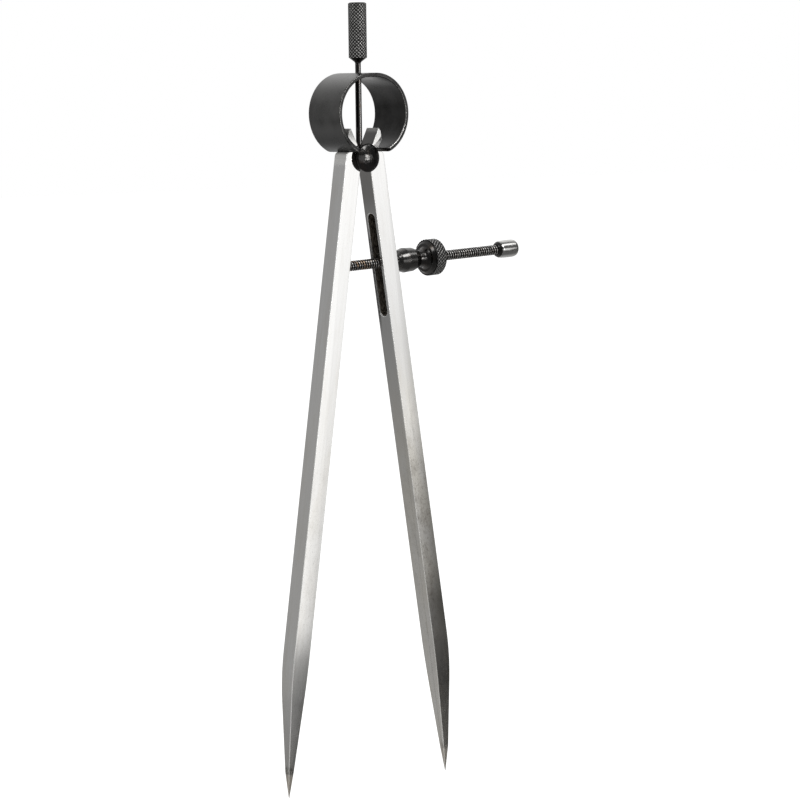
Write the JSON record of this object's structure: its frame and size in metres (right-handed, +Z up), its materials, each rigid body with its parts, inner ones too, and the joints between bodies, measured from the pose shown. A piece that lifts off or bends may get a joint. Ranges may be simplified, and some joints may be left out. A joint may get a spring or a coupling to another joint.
{
  "type": "spring bow divider",
  "caption": "Spring divider with square pointed legs, a wide bow spring over a domed fulcrum, a knurled handle and a swivelling screw with a knurled adjusting nut.",
  "frame": {"origin": "on the work surface, midway between the two points as drawn", "axes": "+Z up along the handle, +X from the left leg to the nut, +Y through the fulcrum from front to back"},
  "size_m": [0.1192, 0.0196, 0.3069],
  "materials": {
    "leg_steel": "ground, lightly polished",
    "spring_steel": "grey hardened spring steel, satin",
    "black_steel": "black oxide, semi-gloss",
    "bright_steel": "bright turned"
  },
  "bodies": {
    "head": {"fulcrum_spool": "black_steel", "handle": "black_steel", "bow_spring": "spring_steel"},
    "left_arm": {"left_leg": "leg_steel", "pivot_pin": "leg_steel"},
    "right_arm": {"right_leg": "leg_steel"},
    "screw": {"adjusting_screw": "black_steel", "stop_collar": "black_steel", "end_ferrule": "bright_steel"},
    "sleeve": {"thrust_sleeve": "black_steel"},
    "nut": {"adjusting_nut": "black_steel"}
  },
  "joints": [
    {"name": "left_leg_open", "type": "hinge", "parent": "head", "child": "left_arm", "pos_m": [0, 0, 0.24692], "axis": [0, 1, 0], "range_deg": [-9, 20], "deforming": ["bow_spring"]},
    {"name": "right_leg_open", "type": "hinge", "parent": "head", "child": "right_arm", "pos_m": [0, 0, 0.24692], "axis": [0, -1, 0], "range_deg": [-9, 20], "deforming": ["bow_spring"]},
    {"name": "screw_swivel", "type": "hinge", "parent": "left_arm", "child": "screw", "pos_m": [-0.01199, 0, 0.20474], "axis": [0, -1, 0], "range_deg": [-9, 20]},
    {"name": "sleeve_swivel", "type": "hinge", "parent": "right_arm", "child": "sleeve", "pos_m": [0.0156, 0, 0.20594], "axis": [0, 1, 0], "range_deg": [-9, 20]},
    {"name": "nut_turn", "type": "hinge", "parent": "sleeve", "child": "nut", "pos_m": [0.0156, 0, 0.20594], "axis": [0.9991, 0, 0.0434], "range_deg": [-4134, 9137]}
  ],
  "couplings": [
    {"joint": "right_leg_open", "follows": "left_leg_open", "ratio": 1},
    {"joint": "screw_swivel", "follows": "left_leg_open", "ratio": 1},
    {"joint": "sleeve_swivel", "follows": "left_leg_open", "ratio": 1},
    {"joint": "nut_turn", "follows": "left_leg_open", "ratio": 454.8}
  ]
}
